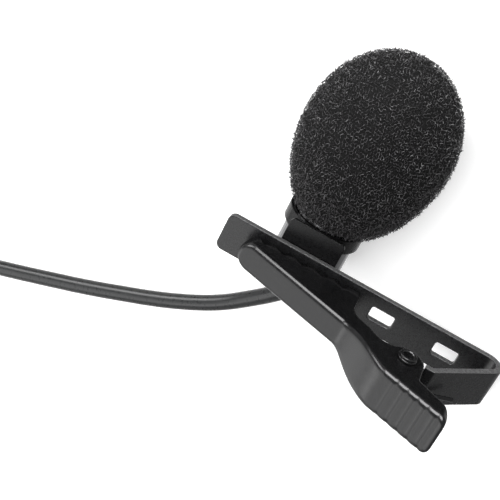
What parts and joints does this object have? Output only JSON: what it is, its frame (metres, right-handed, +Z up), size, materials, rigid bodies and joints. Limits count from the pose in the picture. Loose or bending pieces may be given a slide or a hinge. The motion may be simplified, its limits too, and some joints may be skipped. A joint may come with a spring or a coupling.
{
  "type": "lavalier microphone",
  "caption": "Clip-on microphone: foam-covered barrel held by a ring on a sprung toothed clip with a ribbed thumb tab, and a thin cord that runs to a coil and a plug.",
  "frame": {"origin": "on the table, under the middle of the microphone and its clip, the cord left out", "axes": "+Z up from the table, +X towards the handle end of the clip, +Y towards the windscreen"},
  "size_m": [0.1286, 0.0819, 0.0221],
  "materials": {
    "foam": "matt open-cell foam",
    "black_paint": "smooth gloss black",
    "steel": "bright, satin",
    "rubber": "matt",
    "cord_jacket": "smooth soft plastic, slightly shiny",
    "gold_plate": "polished",
    "board": "green lacquer",
    "red_insulation": "smooth",
    "copper": "bare strands",
    "felt": "thin matt felt"
  },
  "bodies": {
    "microphone": {"mic_barrel": "black_paint", "head_grille": "steel", "acoustic_felt": "felt", "capsule": "steel", "capsule_boot": "rubber", "capsule_board": "board", "signal_wire": "red_insulation", "shield_wire": "copper", "cord_ferrule": "gold_plate", "inner_cable": "cord_jacket", "strain_relief": "rubber", "cable": "cord_jacket", "cable_coil": "cord_jacket", "cable_end": "cord_jacket", "coil_tie": "rubber", "plug_boot": "rubber", "plug_shell": "black_paint", "plug_sleeve": "gold_plate", "plug_ring_back": "gold_plate", "plug_ring_front": "gold_plate", "plug_tip": "gold_plate", "plug_insulator_1": "rubber", "plug_insulator_2": "rubber", "plug_insulator_3": "rubber"},
    "clip": {"back_strip": "black_paint", "ring_holder": "black_paint", "holder_rivet_left": "black_paint", "holder_rivet_right": "black_paint", "pivot_pin": "black_paint", "torsion_spring": "black_paint"},
    "lever": {"jaw_lever": "black_paint"},
    "foam": {"windscreen": "foam"}
  },
  "joints": [
    {"name": "clip_turn", "type": "hinge", "parent": "microphone", "child": "clip", "pos_m": [-0.01149, -0.00667, 0.00684], "axis": [0, 0.9478, 0.319], "continuous": true},
    {"name": "lever_squeeze", "type": "hinge", "parent": "clip", "child": "lever", "pos_m": [0.01158, -0.01508, 0.01554], "axis": [0, 0.9478, 0.319], "range_deg": [0, 35], "stiffness_Nm_per_rad": 0.05, "springref_deg": -28.65, "deforming": ["torsion_spring"]},
    {"name": "windscreen_pull", "type": "slide", "parent": "microphone", "child": "foam", "axis": [0, 0.9478, 0.319], "range_m": [0, 0.016]}
  ]
}
